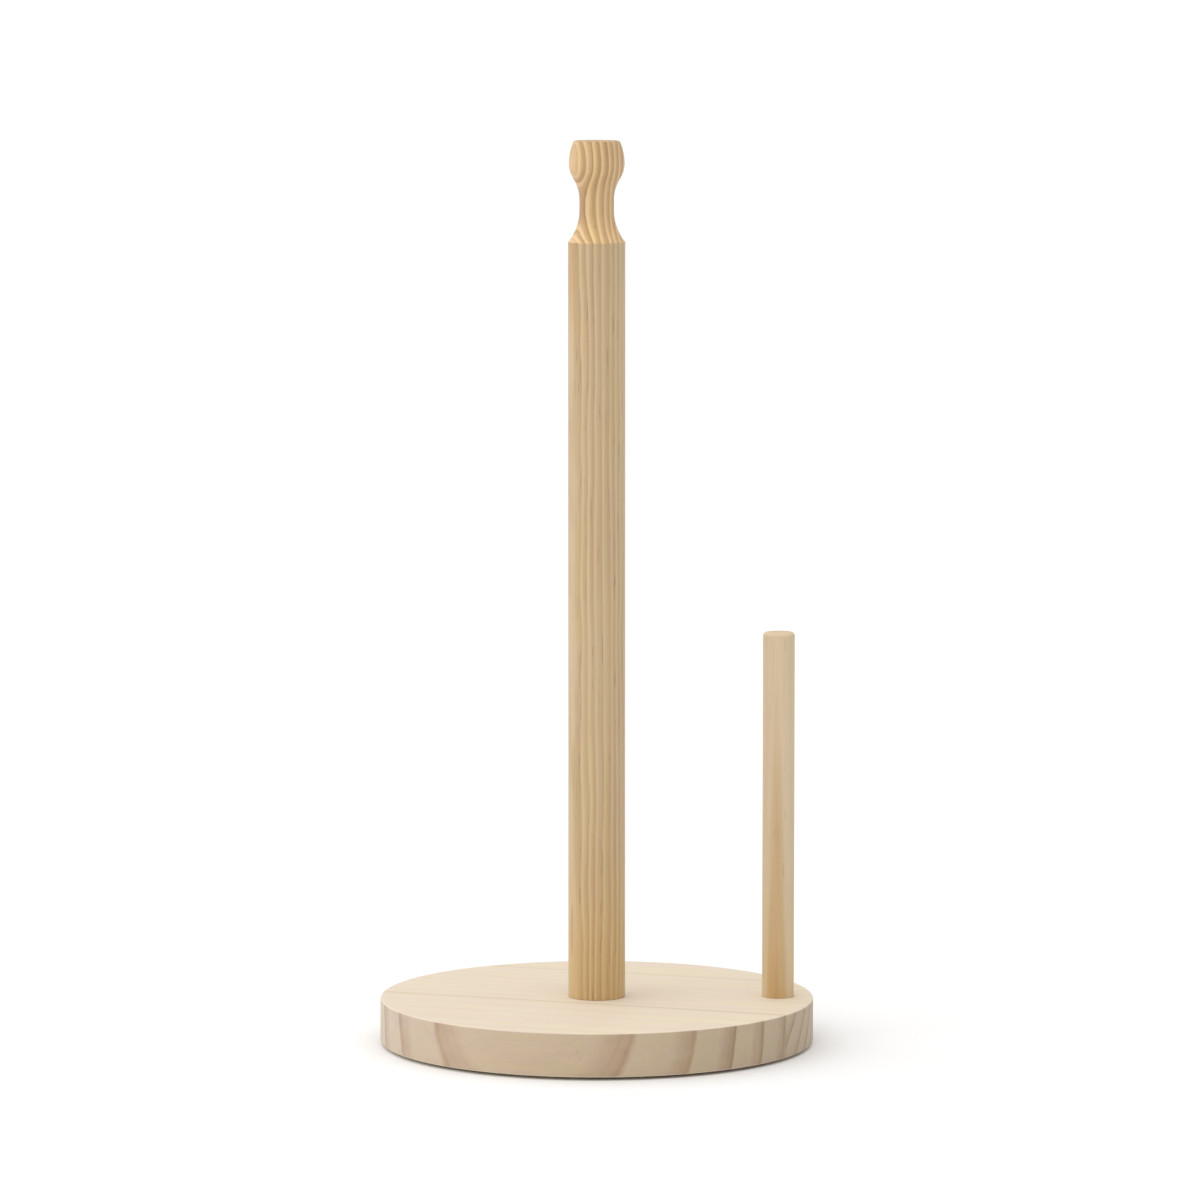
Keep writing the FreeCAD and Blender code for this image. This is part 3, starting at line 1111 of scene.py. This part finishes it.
FLOOR_REACH = 200
FLOOR_SHADES = (0.905, 0.925)
KEY_SPREAD = math.radians(130)
KEY_ENERGY = 2.32
KEY_COLOUR = (1.0, 0.985, 0.965)
KEY_DIRECTION = Vector((0.345, 0.11, -0.932))
SKY_COLOUR = (0.97, 0.985, 1.0, 1)
SKY_STRENGTH = 0.49
# The camera, at the distance, height and lens that show the base and the post as in the photograph.
CAMERA_DISTANCE = 2.454
CAMERA_RISE = math.radians(6.306)
CAMERA_LENS = 200.3
CAMERA_AIM = Vector((1.2 * MM, 0, (cad_low.z + cad_high.z) / 2 - 2.0 * MM))


def make_floor():
    """A plain pale floor that reaches past what the camera sees."""
    size = FLOOR_REACH
    corners = [(-size, -size, 0), (size, -size, 0), (size, size, 0), (-size, size, 0)]
    floor = new_piece("floor", corners, [(0, 1, 2, 3)])
    s = Shader("floor_white")
    shade = s.range(s.noise(s.place, 3.0, 3.0), 0.2, 0.8, *FLOOR_SHADES)
    floor.data.materials.append(s.finish(Base_Color=s.grey(shade), Roughness=0.9))


def make_key():
    """One broad, soft light from above, a little to the left and to the front."""
    lamp = bpy.data.lights.new("key", "SUN")
    lamp.angle = KEY_SPREAD
    lamp.energy = KEY_ENERGY
    lamp.color = KEY_COLOUR
    holder = bpy.data.objects.new("key", lamp)
    holder.rotation_euler = KEY_DIRECTION.to_track_quat("-Z", "Y").to_euler()
    bpy.context.scene.collection.objects.link(holder)


def make_world():
    """An even sky of soft, slightly cool light."""
    world = bpy.data.worlds.new("studio")
    world.use_nodes = True
    sky = world.node_tree.nodes["Background"]
    sky.inputs["Color"].default_value = SKY_COLOUR
    sky.inputs["Strength"].default_value = SKY_STRENGTH
    bpy.context.scene.world = world


def make_camera():
    """A long lens in front of the holder, looking a little down."""
    camera = bpy.data.objects.new("camera", bpy.data.cameras.new("camera"))
    back = Vector((0, -math.cos(CAMERA_RISE), math.sin(CAMERA_RISE)))
    camera.location = CAMERA_AIM + CAMERA_DISTANCE * back
    camera.rotation_euler = (math.pi / 2 - CAMERA_RISE, 0, 0)
    camera.data.lens = CAMERA_LENS
    camera.data.clip_end = FLOOR_REACH
    bpy.context.scene.collection.objects.link(camera)
    bpy.context.scene.camera = camera



def hand_in(piece, material, node):
    """Dress a piece, and let it stand for a CAD node."""
    piece.data.materials.clear()
    piece.data.materials.append(material)
    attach(piece, "root")
    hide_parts(node)


stave_nodes = ("base_stave_front", "base_stave_middle", "base_stave_rear")
for stave, material, node in zip(make_base(), stave_woods(), stave_nodes):
    hand_in(stave, material, node)
hand_in(make_post(), post_wood(), "centre_post")
hand_in(make_peg(), peg_wood(), "side_peg")
hand_in(make_screw(post_screw), zinc_steel(post_screw), "post_screw")
hand_in(make_screw(peg_screw), zinc_steel(peg_screw), "peg_screw")
rubber = pad_rubber()
for node in pad_nodes:
    hand_in(make_pad(node), rubber, node)

make_floor()
make_world()
make_key()
make_camera()
bpy.context.scene.view_settings.view_transform = "Standard"
